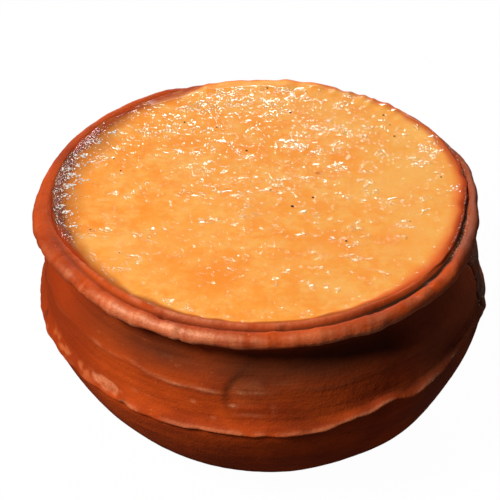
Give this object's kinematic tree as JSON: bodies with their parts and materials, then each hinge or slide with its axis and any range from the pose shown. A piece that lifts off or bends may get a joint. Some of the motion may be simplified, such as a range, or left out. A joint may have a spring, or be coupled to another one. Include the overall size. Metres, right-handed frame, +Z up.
{
  "type": "pot of mishti doi",
  "caption": "Low round-bottomed unglazed clay pot with a rolled lip, filled to the brim with set caramel-coloured sweet curd that has run over the lip at the back.",
  "frame": {"origin": "middle of the flat spot under the pot that it stands on", "axes": "+Z up out of the mouth, -Y towards the side seen in the picture, +X to the right in the picture"},
  "size_m": [0.1363, 0.1362, 0.0749],
  "materials": {
    "clay": "unglazed red terracotta, hand-turned, dull with a faint polish",
    "curd": "wet caramel-orange set curd with a wrinkled skin"
  },
  "bodies": {
    "root": {"clay_pot": "clay", "sweet_curd": "curd"}
  },
  "joints": []
}
